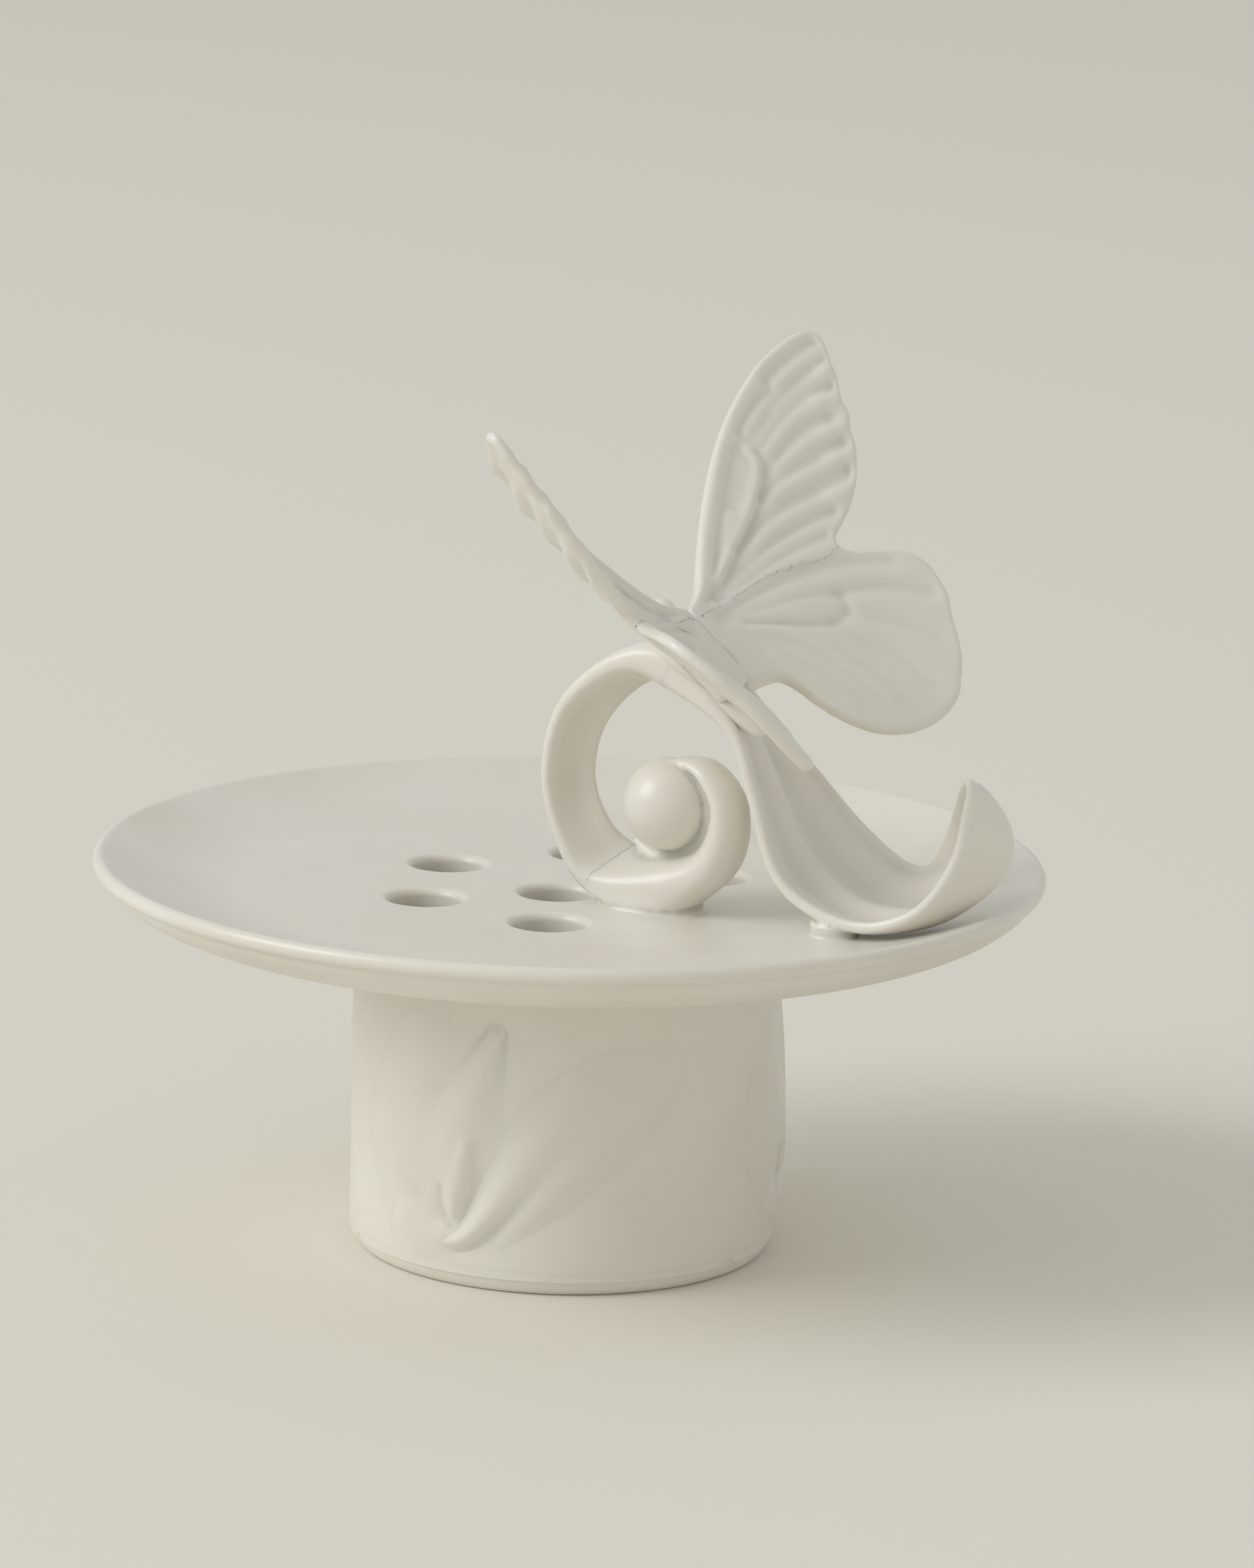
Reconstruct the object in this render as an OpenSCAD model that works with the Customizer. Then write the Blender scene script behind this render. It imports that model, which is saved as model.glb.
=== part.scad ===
// Porcelain flower frog: a shallow saucer pierced with stem holes, on a collar that drops
// into a vase's neck, with a scrolled leaf, a pearl and a butterfly standing on the saucer.
// The pieces are cast and modelled apart, luted together with slip and fired as one.
// Z is up, the collar stands on Z = 0 and the saucer's axis is the Z axis.

/* [Saucer] */
// Outer diameter of the saucer
plate_d = 160; // [150:1:180]
// Diameter of the flat floor inside the saucer
floor_d = 112; // [104:1:120]
// Thickness of the saucer's floor
floor_t = 4.4; // [3.5:0.1:6]
// Rise of the rolled rim's centre line above the floor
rim_rise = 4; // [2:0.5:6]
// Thickness of the rolled rim
rim_t = 2.8; // [2:0.1:3.5]
// Diameter of the flat underside that rests on a vase's mouth
seat_d = 128; // [110:1:136]

/* [Stem holes] */
// Diameter of each stem hole
hole_d = 12.3; // [8:0.1:14]
// Diameter of the circle that the outer holes stand on
hole_ring_d = 52; // [48:1:54]
// Radius of the rounded lip round each hole's mouth
lip_r = 1.4; // [0.5:0.1:1.8]

/* [Collar] */
// Outer diameter of the collar
collar_d = 72; // [70:1:80]
// Thickness of the collar's wall
collar_wall = 3.4; // [2.5:0.1:4]
// Height of the collar, from its foot to the saucer's underside
collar_h = 57; // [50:1:70]
// Radius of the rounding round the collar's foot
foot_r = 2.4; // [1:0.1:2.4]
// Depth of the rebate under the saucer that the collar's top is luted into
rebate = 0.4; // [0.2:0.1:1]
// Number of tulips round the collar
tulips = 3; // [3]

/* [Scroll] */
// Turn of the scroll's upright plane away from the X axis, in degrees
scroll_turn = 28; // [20:1:35]
// Diameter of the pearl
pearl_d = 15.6; // [13:0.1:16]
// Distance of the pearl from the saucer's axis, along the scroll's plane
pearl_out = 21.1; // [20:0.1:23]
// Height of the pearl's centre above the saucer's floor
pearl_rise = 17.9; // [17:0.1:18.5]

/* [Butterfly] */
// Height of the butterfly's wing roots above the saucer's floor
fly_rise = 49.4; // [49:0.1:51]
// Climb of the butterfly's body towards its head, in degrees
fly_climb = 42; // [38:1:46]
// Turn of the butterfly's right side away from the X axis, in degrees
fly_turn = 63; // [58:1:68]
// Lift of each wing above the body's sides, in degrees
wing_lift = 24.5; // [20:0.5:32]
// Bow of each wing, downwards at the middle of its span
wing_bow = 1.5; // [0:0.1:3]
// Thickness of the wings
wing_t = 2.6; // [2:0.1:3.5]

/* [Hidden] */

porcelain = "ivory";
round_fn = 96;
far = 200;              // larger than the whole object, for cutting

floor_z = collar_h + floor_t;
rim_z = floor_z + rim_rise;
rim_r = (plate_d - rim_t) / 2;
ring_angles = [23, 83, 143, 203, 263];
centre_hole = [-2, -4];  // a little off the axis, clear of the scroll's foot

// ---- Curves ----------------------------------------------------------------

function hold(p, i) = p[min(max(i, 0), len(p) - 1)];

// A smooth curve through the list p, at t from 0 to len(p) - 1.
function along(p, t) =
    let (i = min(floor(t), len(p) - 2), f = t - i)
    let (a = hold(p, i - 1), b = hold(p, i), c = hold(p, i + 1), d = hold(p, i + 2))
    0.5 * (2 * b + (c - a) * f + (2 * a - 5 * b + 4 * c - d) * f * f
        + (3 * b - a - 3 * c + d) * f * f * f);

function unit(v) = v / norm(v);

// Triangles across a ring of n points, zipped from its first point to the one opposite.
function zipped(start, n) = [for (j = [0 : ceil(n / 2) - 1]) each [
    if (n - j - 1 > j + 1) [start + (n - j) % n, start + n - j - 1, start + j + 1],
    if (j > 0 && n - j > j + 1) [start + n - j, start + j + 1, start + j]
]];

// A closed solid through rings of points, each ring turning anticlockwise as it is seen
// from the first ring's side.
module skin(rings) {
    n = len(rings[0]);
    last = len(rings) - 1;
    function at(i, j) = i * n + (j % n);
    polyhedron(
        points = [for (r = rings) each r],
        faces = concat(
            zipped(0, n),
            [for (i = [0 : last - 1]) for (j = [0 : n - 1]) each [
                [at(i, j), at(i + 1, j + 1), at(i + 1, j)],
                [at(i, j), at(i, j + 1), at(i + 1, j + 1)]
            ]],
            [for (f = zipped(last * n, n)) [f[2], f[1], f[0]]]
        ),
        convexity = 6
    );
}

// ---- Saucer and collar -----------------------------------------------------

// The saucer's half section, from the axis along the floor, round the rim and back.
function dish_curve() = let (
    flat_r = floor_d / 2,
    seat_r = seat_d / 2,
    inner_rise = rim_rise + rim_t / 2,
    outer_drop = rim_z - rim_t / 2 - collar_h,
    steps = 14
) concat(
    [[0, floor_z]],
    [for (i = [0 : steps]) let (t = i / steps)
        [flat_r + (rim_r - flat_r) * t, floor_z + inner_rise * (1 - cos(90 * t))]],
    [for (a = [75 : -15 : -75]) [rim_r + rim_t / 2 * cos(a), rim_z + rim_t / 2 * sin(a)]],
    [for (i = [steps : -1 : 0]) let (t = i / steps)
        [seat_r + (rim_r - seat_r) * t, collar_h + outer_drop * (1 - pow(1 - pow(t, 1.6), 1 / 1.6))]],
    [[collar_d / 2, collar_h], [collar_d / 2, collar_h + rebate], [0, collar_h + rebate]]
);

// A stem hole with a straight wall and a rounded mouth.
module stem_hole() {
    translate([0, 0, collar_h - floor_t]) cylinder(d = hole_d, h = 3 * floor_t, $fn = round_fn);
    translate([0, 0, floor_z - lip_r]) rotate_extrude($fn = round_fn) difference() {
        square([hole_d / 2 + lip_r, 2 * lip_r]);
        translate([hole_d / 2 + lip_r, 0]) circle(r = lip_r, $fn = 48);
    }
}

module plate() {
    color(porcelain) difference() {
        rotate_extrude($fn = round_fn) polygon(dish_curve());
        translate(centre_hole) stem_hole();
        for (a = ring_angles) rotate([0, 0, a]) translate([hole_ring_d / 2, 0, 0]) stem_hole();
    }
}

module collar() {
    out_r = collar_d / 2;
    color(porcelain) rotate_extrude($fn = round_fn) difference() {
        translate([out_r - collar_wall, 0]) square([collar_wall, collar_h + rebate]);
        translate([out_r - foot_r, 0]) difference() {
            translate([0, -1]) square([foot_r + 1, foot_r + 1]);
            translate([0, foot_r]) circle(r = foot_r, $fn = 48);
        }
    }
}

// ---- Tulips in relief ------------------------------------------------------

wall_gap = 0.02;  // lifts the reliefs' corners off the wall, so that their flat facets only touch it

// A point on the collar at an angle to the right of its front, z up and a height proud.
function on_collar(angle, z, proud) = let (r = collar_d / 2 + proud)
    [r * sin(angle), -r * cos(angle), z];

// Petals or leaves side by side on the collar's wall, as one relief. The left and right
// edges are [angle, z] points from the stalk's end up, and lobes counts the petals.
module relief(left, right, lobes, height) {
    steps = 14;
    across = 16;
    skin([for (i = [0 : steps]) let (
        t = i / steps,
        from = along(left, (len(left) - 1) * t),
        to = along(right, (len(right) - 1) * t),
        crown = height * (0.2 + 0.8 * pow(sin(180 * t), 0.5)),
        at = function(w, proud) let (p = from + (to - from) * w) on_collar(p[0], p[1], proud)
    ) concat(
        [for (k = [0 : across]) at(k / across, wall_gap)],
        [for (k = [across - 1 : -1 : 1]) let (w = k / across)
            at(w, wall_gap + crown * (0.3 * sin(180 * w) + 0.7 * abs(sin(180 * lobes * w))))]
    )]);
}

module tulip_bloom(number) {
    color(porcelain) rotate([0, 0, 360 / tulips * (number - 1)]) relief(
        [[-37, 9], [-47, 15], [-54, 23], [-54.5, 33], [-47, 45]],
        [[-29, 9], [-27, 16], [-25, 26], [-24.5, 35], [-18, 44]],
        4, 1.4
    );
}

module tulip_leaf(number) {
    color(porcelain) rotate([0, 0, 360 / tulips * (number - 1)]) relief(
        [[-31, 8.5], [-16, 18], [-3, 31], [12, 39], [22, 43]],
        [[-30, 5.5], [-13, 11], [4, 21], [19, 32], [33, 41.5]],
        2, 1.3
    );
}

// ---- Scroll ----------------------------------------------------------------

// The scroll is one ribbon. Its plane has u across, a away from the front and z up.
// turn_point places a point by its clockwise turn from straight above the pearl.
function turn_point(turn, r, a) =
    [pearl_out + r * sin(turn), a, floor_z + pearl_rise + r * cos(turn)];

// Each station: near edge, far edge, dish of the middle, thickness, squareness of the edges.
stations = [
    [turn_point(10, 8.0, -7), turn_point(10, 8.0, -3), 0, 0.8, 2],
    [turn_point(50, 9.2, -9), turn_point(50, 9.0, -1), 0.6, 3.6, 2],
    [turn_point(90, 10.8, -10), turn_point(90, 10.2, 0), 0.8, 5.6, 2],
    [turn_point(135, 12.2, -10.5), turn_point(135, 11.2, 1), 0.8, 7.4, 2.2],
    [turn_point(180, 14.2, -10.5), turn_point(180, 11.8, 1), 0.5, 8.6, 2.4],
    [turn_point(222, 19.6, -9.5), turn_point(222, 12.4, 0), 0.8, 4.6, 3],
    [turn_point(250, 20.2, -9.5), turn_point(250, 13.6, -2), 1.2, 2.6, 4],
    [turn_point(280, 21.8, -9.5), turn_point(280, 15.8, -2), 1.3, 2.2, 5],
    [turn_point(310, 24.0, -9.5), turn_point(310, 18.2, -1), 1.2, 2.8, 4],
    [turn_point(340, 25.0, -9.5), turn_point(340, 21.0, 1), 0.8, 4.6, 3],
    [turn_point(362, 23.0, -9.5), turn_point(362, 22.4, 5), 0.2, 7.6, 3],
    [[33.6, -9.5, 94.6], [33.0, 9, 92.5], -1.0, 2.8, 4],
    [[38.0, -9.5, 84.1], [38.6, 15, 83.0], -1.8, 2.2, 5],
    [[42.4, -9.5, 71.3], [46.6, 17, 74.5], -2.4, 2.2, 5],
    [[49.3, -9.5, 65.7], [54.0, 17, 69.5], -2.6, 2.2, 5],
    [[59.0, -9.5, 64.0], [59.4, 15, 69.6], -3.0, 2.2, 5],
    [[68.6, -9.5, 68.2], [63.0, 12, 73.6], -6.5, 2.2, 5],
    [[74.6, -9.5, 77.0], [66.5, 8, 80.0], -9.5, 2.2, 5],
    [[76.6, -9.5, 86.0], [72.4, -2, 88.0], -4.5, 1.8, 5],
    [[76.8, -9.0, 90.5], [76.2, -8, 90.6], 0, 1.2, 2]
];

// The ribbon's middle surface at s along the stations and w across, from 0 to 1.
function ribbon_mid(s, w) = let (
    near = along([for (k = stations) k[0]], s),
    away = along([for (k = stations) k[1]], s),
    on = along([for (k = stations) (k[0] + k[1]) / 2], s + 0.05)
        - along([for (k = stations) (k[0] + k[1]) / 2], s - 0.05),
    out = unit(cross(on, away - near)),
    dish = along([for (k = stations) k[2]], s)
) near + (away - near) * w + out * dish * 4 * w * (1 - w);

// One ring round the ribbon's section: over its outer face and back under the inner one.
function ribbon_ring(s, across) = let (
    thick = along([for (k = stations) k[3]], s),
    squareness = along([for (k = stations) k[4]], s),
    on = ribbon_mid(s + 0.04, 0.5) - ribbon_mid(s - 0.04, 0.5),
    lane = [for (k = [0 : across]) (1 - cos(180 * k / across)) / 2],
    face = function(w, side) let (
        mid = ribbon_mid(s, w),
        over = unit(cross(on, ribbon_mid(s, min(w + 0.02, 1)) - ribbon_mid(s, max(w - 0.02, 0))))
    ) mid + over * side * thick / 2 * pow(max(0, 1 - pow(abs(2 * w - 1), squareness)), 1 / squareness)
) concat(
    [for (k = [0 : across]) face(lane[k], 1)],
    [for (k = [across - 1 : -1 : 1]) face(lane[k], -1)]
);

module ribbon(first, last, per_station = 5, across = 10) {
    steps = round((last - first) * per_station);
    rotate([0, 0, -scroll_turn])
        skin([for (i = [0 : steps]) ribbon_ring(first + (last - first) * i / steps, across)]);
}

volute_end = 5;
ring_end = 10;
leaf_end = len(stations) - 1;

module above_floor() {
    difference() {
        children();
        translate([-far / 2, -far / 2, floor_z - far]) cube(far);
    }
}

module pearl_ball(d) {
    rotate([0, 0, -scroll_turn]) translate([pearl_out, -5, floor_z + pearl_rise])
        sphere(d = d, $fn = 64);
}

module scroll_volute() {
    color(porcelain) difference() {
        above_floor() ribbon(0, volute_end);
        pearl_ball(pearl_d);
    }
}

module scroll_ring() {
    color(porcelain) difference() {
        above_floor() ribbon(volute_end, ring_end);
        on_fly() fly_body();
    }
}

module leaf_ribbon() {
    ribbon(ring_end, leaf_end);
}

module scroll_leaf() {
    color(porcelain) difference() {
        leaf_ribbon();
        on_fly() fly_body();
    }
}

module pearl() {
    color(porcelain) pearl_ball(pearl_d);
}

pad_r = 3;
pad_h = 1.9;

module leaf_foot() {
    color(porcelain) difference() {
        rotate([0, 0, -scroll_turn]) translate([52.5, -6, floor_z])
            cylinder(r = pad_r, h = pad_h, $fn = 48);
        leaf_ribbon();
    }
}

// ---- Butterfly -------------------------------------------------------------

wing_span = 70;
fly_at = [15.9, -16, floor_z + fly_rise];

// The butterfly's own frame: x to its right, y towards its head, z off its back.
module on_fly() {
    translate(fly_at) rotate([fly_climb, 0, fly_turn]) children();
}

// A round body piece along y, its half profile given as [y, radius] points.
module turned(profile) {
    last = len(profile) - 1;
    steps = 6 * last;
    rotate([-90, 0, 0]) rotate_extrude($fn = 48) polygon(concat(
        [[0, profile[0][0]]],
        [for (i = [1 : steps - 1]) let (p = along(profile, last * i / steps)) [max(p[1], 0.05), p[0]]],
        [[0, profile[last][0]]]
    ));
}

module thorax_shape() {
    turned([[-13.5, 0], [-11.5, 2.6], [-6, 3.8], [-1.5, 3], [0.6, 0]]);
}

module abdomen_shape() {
    translate([0, 0, -0.6]) turned([[-25, 0], [-23.5, 1.5], [-18, 2.7], [-12, 2.5], [-9, 0]]);
}

module head_shape() {
    translate([0, 2.1, 0.9]) sphere(r = 2.6, $fn = 48);
}

module fly_body() {
    thorax_shape();
    abdomen_shape();
}

module butterfly_thorax() {
    color(porcelain) on_fly() thorax_shape();
}

module butterfly_head() {
    color(porcelain) on_fly() difference() {
        head_shape();
        thorax_shape();
    }
}

module butterfly_abdomen() {
    color(porcelain) on_fly() difference() {
        abdomen_shape();
        thorax_shape();
    }
}

// Each wing in its own plane, x out from the body and y towards the head: a point that sees
// all of it, and its outline from the front round to the back.
fore_middle = [30, 8];
fore_outline = [
    [3.0, -0.9], [6.8, 1.6], [12.1, 6.2], [24.4, 16.3], [37.7, 24.8], [52.3, 30.4], [62, 31.5],
    [65.5, 29.2], [64, 23], [59.3, 14.1], [54.2, 6.3], [46.3, 0.2], [38.1, -4.4],
    [30, -3.6], [20, -1.9], [10, -1.9], [3.7, -2.4]
];
hind_middle = [9, -8];
hind_outline = [
    [3.7, -2.5], [10, -2.0], [20, -2.0], [30, -3.7], [38.1, -4.6], [43.3, -8.4], [48.6, -12],
    [50.3, -17], [48.4, -24], [45.2, -28.2], [39, -35.5], [31.8, -38.8], [22.2, -37.5],
    [15.6, -32.1], [12, -24.7], [9.8, -18.9], [8.1, -18.4], [6.3, -19.5], [4.3, -22.5],
    [2, -20], [1.6, -8]
];

// A flat plate with rounded edges, bowed along x. Its rings spread from the middle of its
// underside to its edge, and close again over its top.
module wing_plate(middle, outline) {
    edge = [for (i = [0 : 3 * len(outline) - 1]) along(concat(outline, [outline[0]]), i / 3)];
    spread = [0.06, 0.3, 0.55, 0.78, 1];
    function at(p, inner, outer, rise) = let (
        reach = norm(p - middle),
        r = min(wing_t / 2, reach / 3),
        q = middle + unit(p - middle) * ((reach - r) * inner + r * outer)
    ) [q[0], q[1], r * rise - wing_bow * sin(q[0] / wing_span * 180)];
    skin(concat(
        [for (f = spread) [for (p = edge) at(p, f, 0, -1)]],
        [for (a = [-60 : 30 : 60]) [for (p = edge) at(p, 1, cos(a), sin(a))]],
        [for (k = [len(spread) - 1 : -1 : 0]) [for (p = edge) at(p, spread[k], 0, 1)]]
    ));
}

module wing(middle, outline, side) {
    mirror([side < 0 ? 1 : 0, 0, 0]) rotate([0, -wing_lift, 0]) wing_plate(middle, outline);
}

// A forewing starts at the thorax's side, and a hindwing is cut to the thorax and abdomen.
module forewing(side) {
    color(porcelain) on_fly() wing(fore_middle, fore_outline, side);
}

module hindwing(side) {
    color(porcelain) on_fly() difference() {
        wing(hind_middle, hind_outline, side);
        thorax_shape();
        abdomen_shape();
    }
}

module forewing_left() { forewing(-1); }
module forewing_right() { forewing(1); }
module hindwing_left() { hindwing(-1); }
module hindwing_right() { hindwing(1); }

// ---- Nodes -----------------------------------------------------------------

plate();
collar();
for (i = [1 : tulips]) {
    tulip_bloom(i);
    tulip_leaf(i);
}
scroll_volute();
scroll_ring();
scroll_leaf();
leaf_foot();
pearl();
butterfly_head();
butterfly_thorax();
butterfly_abdomen();
forewing_left();
forewing_right();
hindwing_left();
hindwing_right();
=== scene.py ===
"""A porcelain flower frog: a pierced saucer on a collar with tulips in relief, and on the
saucer a scroll that ends in a leaf, a pearl in the scroll's cup and a butterfly on its top.

Shapes are worked out in millimetres, in the frame's axes, and become metres in one place,
new_piece().
"""
import math

import bmesh
import bpy
import numpy as np
from mathutils import Matrix, Vector
from mathutils.bvhtree import BVHTree


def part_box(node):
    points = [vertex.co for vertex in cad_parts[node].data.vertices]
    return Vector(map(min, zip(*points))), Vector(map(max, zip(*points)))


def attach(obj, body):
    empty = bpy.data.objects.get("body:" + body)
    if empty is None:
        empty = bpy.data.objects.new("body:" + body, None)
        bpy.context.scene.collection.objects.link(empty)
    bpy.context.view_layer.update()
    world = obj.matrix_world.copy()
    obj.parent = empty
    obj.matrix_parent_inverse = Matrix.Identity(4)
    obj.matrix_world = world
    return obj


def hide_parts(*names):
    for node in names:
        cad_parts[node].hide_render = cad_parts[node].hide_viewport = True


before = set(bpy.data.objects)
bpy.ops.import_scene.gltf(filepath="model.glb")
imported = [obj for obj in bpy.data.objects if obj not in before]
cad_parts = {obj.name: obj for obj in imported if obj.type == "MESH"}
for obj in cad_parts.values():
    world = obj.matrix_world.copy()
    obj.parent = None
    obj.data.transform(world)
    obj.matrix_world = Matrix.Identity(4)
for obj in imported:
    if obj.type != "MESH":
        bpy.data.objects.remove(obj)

bl_info = {
    "name": "Porcelain Flower Frog",
    "version": (1, 0, 0),
    "blender": (4, 5, 0),
    "location": "View3D > Sidebar > Flower Frog",
    "description": "Builds the porcelain of a flower frog round its packed frame",
    "category": "Object",
}

MM = 0.001
BODY = "root"
GLAZE = "satin glaze"
CREASE = 60                     # degrees, above which an edge stays sharp
MERGE = 1e-3                    # millimetres, below which points are one point
CORE = 0.02                     # radius that stands for the axis in a turned section


def box_mm(node):
    """The lowest and highest corner of a CAD node, in millimetres."""
    low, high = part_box(node)
    return np.array(low) / MM, np.array(high) / MM


# ---- Sizes that come from the frame ------------------------------------------

PLATE_LOW, PLATE_HIGH = box_mm("plate")
COLLAR_HIGH = box_mm("collar")[1]
PEARL_LOW, PEARL_HIGH = box_mm("pearl")
PAD_LOW, PAD_HIGH = box_mm("leaf_foot")
PLATE_R = PLATE_HIGH[0]
COLLAR_R = COLLAR_HIGH[0]
SEAT_Z = PLATE_LOW[2]           # the saucer's underside, which rests on a vase
COLLAR_TOP = COLLAR_HIGH[2]     # a little higher, in the rebate under the saucer
FLOOR_Z = PAD_LOW[2]            # the saucer's floor, where the scroll and the pad stand
RIM_TOP = PLATE_HIGH[2]
PEARL_AT = (PEARL_LOW + PEARL_HIGH) / 2
PEARL_R = (PEARL_HIGH[2] - PEARL_LOW[2]) / 2

SCROLL_TURN = math.radians(28)  # of the scroll's upright plane away from the X axis
FLY_CLIMB = math.radians(42)    # of the butterfly's body, towards its head
FLY_TURN = math.radians(63)     # of the butterfly's right side away from the X axis
FLY_AT = np.array([15.9, -16.0, FLOOR_Z + 49.4])
WING_LIFT = math.radians(24.5)  # of each wing above the body's sides
WING_BOW = 1.5                  # of each wing, downwards at the middle of its span
TULIPS = 3


# ---- Curves and fields -------------------------------------------------------

def curve(points, at):
    """A smooth curve through points, at values from 0 to the last point's number."""
    points = np.asarray(points, float)
    at = np.asarray(at, float)
    last = len(points) - 1
    i = np.clip(np.floor(at).astype(int), 0, last - 1)
    f = (at - i)[..., None]
    a, b, c, d = (points[np.clip(i + k, 0, last)] for k in (-1, 0, 1, 2))
    return 0.5 * (2 * b + (c - a) * f + (2 * a - 5 * b + 4 * c - d) * f**2
                  + (3 * b - a - 3 * c + d) * f**3)


def curve_of(points, number):
    """That many points, spread along the smooth curve through points."""
    return curve(points, np.linspace(0, len(points) - 1, number))


def unit(v):
    return v / np.maximum(np.linalg.norm(v, axis=-1, keepdims=True), 1e-12)


def step(x, low, high):
    """0 below low and 1 above high, with a smooth rise between."""
    t = np.clip((x - low) / (high - low), 0, 1)
    return t * t * (3 - 2 * t)


def turned_z(points, angle):
    c, s = math.cos(angle), math.sin(angle)
    return points @ np.array([[c, s, 0], [-s, c, 0], [0, 0, 1]])


def nearest(points, line):
    """How far each 2-D point is from a line of points, and how far along the line, 0 to 1."""
    gap = np.linalg.norm(points[..., None, :] - line, axis=-1)
    return gap.min(-1), gap.argmin(-1) / (len(line) - 1)


# ---- Meshes ------------------------------------------------------------------

def tube(rings):
    """Vertices and faces of a closed solid through rings of points, shape (rings, points, 3)."""
    m, n = rings.shape[:2]
    ends = [rings[0].mean(0), rings[-1].mean(0)]
    vertices = np.vstack([rings.reshape(-1, 3), ends])
    number = np.arange(m * n).reshape(m, n)
    here, beyond = number[:-1], number[1:]
    sides = np.stack([here, beyond, np.roll(beyond, -1, 1), np.roll(here, -1, 1)], -1)
    faces = sides.reshape(-1, 4).tolist()
    for ring, end in ((number[0], m * n), (number[-1], m * n + 1)):
        faces += [[int(a), int(b), end] for a, b in zip(ring, np.roll(ring, -1))]
    return vertices, faces


def lathe(profile, turns):
    """Vertices and faces of a closed profile of (radius, z) points turned round the Z axis."""
    angle = np.linspace(0, 2 * math.pi, turns, endpoint=False)[:, None]
    r, z = np.asarray(profile, float).T
    rings = np.stack([r * np.cos(angle), r * np.sin(angle), z + 0 * angle], -1)
    number = np.arange(rings.size // 3).reshape(rings.shape[:2])
    beyond = np.roll(number, -1, 0)
    faces = np.stack([number, beyond, np.roll(beyond, -1, 1), np.roll(number, -1, 1)], -1)
    return rings.reshape(-1, 3), faces.reshape(-1, 4).tolist()


def read(items, name, width=1, kind=float):
    """One property of all of a mesh's vertices, edges, loops or faces."""
    values = np.empty(len(items) * width, kind)
    items.foreach_get(name, values)
    return values.reshape(-1, width) if width > 1 else values


def added(name, data):
    """A new object, in the scene."""
    thing = bpy.data.objects.new(name, data)
    bpy.context.scene.collection.objects.link(thing)
    return thing


def shade(mesh, crease=180):
    """Shades a mesh smooth, apart from edges sharper than crease degrees."""
    mesh.polygons.foreach_set("use_smooth", [True] * len(mesh.polygons))
    if crease < 180:
        mesh.set_sharp_from_angle(angle=math.radians(crease))


def baked(thing):
    """The plain mesh that an object's modifiers make. The modifiers are then removed."""
    depsgraph = bpy.context.evaluated_depsgraph_get()
    mesh = bpy.data.meshes.new_from_object(thing.evaluated_get(depsgraph))
    thing.modifiers.clear()
    return mesh


def new_piece(name, vertices, faces, crease=CREASE):
    """A smooth mesh object from points in millimetres. Edges sharper than crease stay sharp."""
    mesh = bpy.data.meshes.new(name)
    mesh.from_pydata((np.asarray(vertices) * MM).tolist(), [], faces)
    work = bmesh.new()
    work.from_mesh(mesh)
    bmesh.ops.remove_doubles(work, verts=work.verts, dist=MERGE * MM)
    bmesh.ops.dissolve_degenerate(work, edges=work.edges, dist=MERGE * MM)
    bmesh.ops.recalc_face_normals(work, faces=work.faces)
    work.to_mesh(mesh)
    work.free()
    shade(mesh, crease)
    return added(name, mesh)


def mark_pool_and_shade_curvature(mesh, passes=8):
    """Stores how hollow the surface is at each vertex, above 0 in hollows and below 0 on edges, as
    an attribute. The glaze reads it for pooled glaze and painted shade in hollows, and for thin
    glaze on edges.
    """
    count = len(mesh.vertices)
    place = read(mesh.vertices, "co", 3) / MM
    normal = read(mesh.vertex_normals, "vector", 3, np.float32)
    a, b = read(mesh.edges, "vertices", 2, int).T
    degree = np.maximum(np.bincount(a, minlength=count) + np.bincount(b, minlength=count), 1)

    def around(values):
        """The mean of each vertex's neighbours."""
        total = np.bincount(a, values[b], count) + np.bincount(b, values[a], count)
        return total / degree

    length = np.linalg.norm(place[a] - place[b], axis=1)
    reach = (np.bincount(a, length**2, count) + np.bincount(b, length**2, count)) / degree
    centre = np.stack([around(place[:, k]) for k in range(3)], 1)
    bend = 2 * ((centre - place) * normal).sum(1) / np.maximum(reach, 1e-6)
    bend = np.clip(bend, -1, 1)
    for _ in range(passes):
        bend = 0.5 * bend + 0.5 * around(bend)
    # Hollows in this field get pooled glaze and painted shade in the glaze's colour.
    bend_field = mesh.attributes.new("pool_and_shade_curvature", "FLOAT", "POINT")
    bend_field.data.foreach_set("value", bend.astype(np.float32))


def joined(parts):
    """One list of vertices and of faces for several parts, and each face's part number."""
    vertices, faces, owner, first = [], [], [], 0
    for number, (points, polygons) in enumerate(parts):
        vertices.append(np.asarray(points))
        faces += [[first + i for i in polygon] for polygon in polygons]
        owner += [number] * len(polygons)
        first += len(points)
    return np.vstack(vertices), faces, np.array(owner)


def face_pairs(mesh):
    """Pairs of faces that share an edge."""
    edge = read(mesh.loops, "edge_index", kind=int)
    size = read(mesh.polygons, "loop_total", kind=int)
    face = np.repeat(np.arange(len(size)), size)
    order = np.argsort(edge, kind="stable")
    edge, face = edge[order], face[order]
    same = edge[:-1] == edge[1:]
    return face[:-1][same], face[1:][same]


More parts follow.
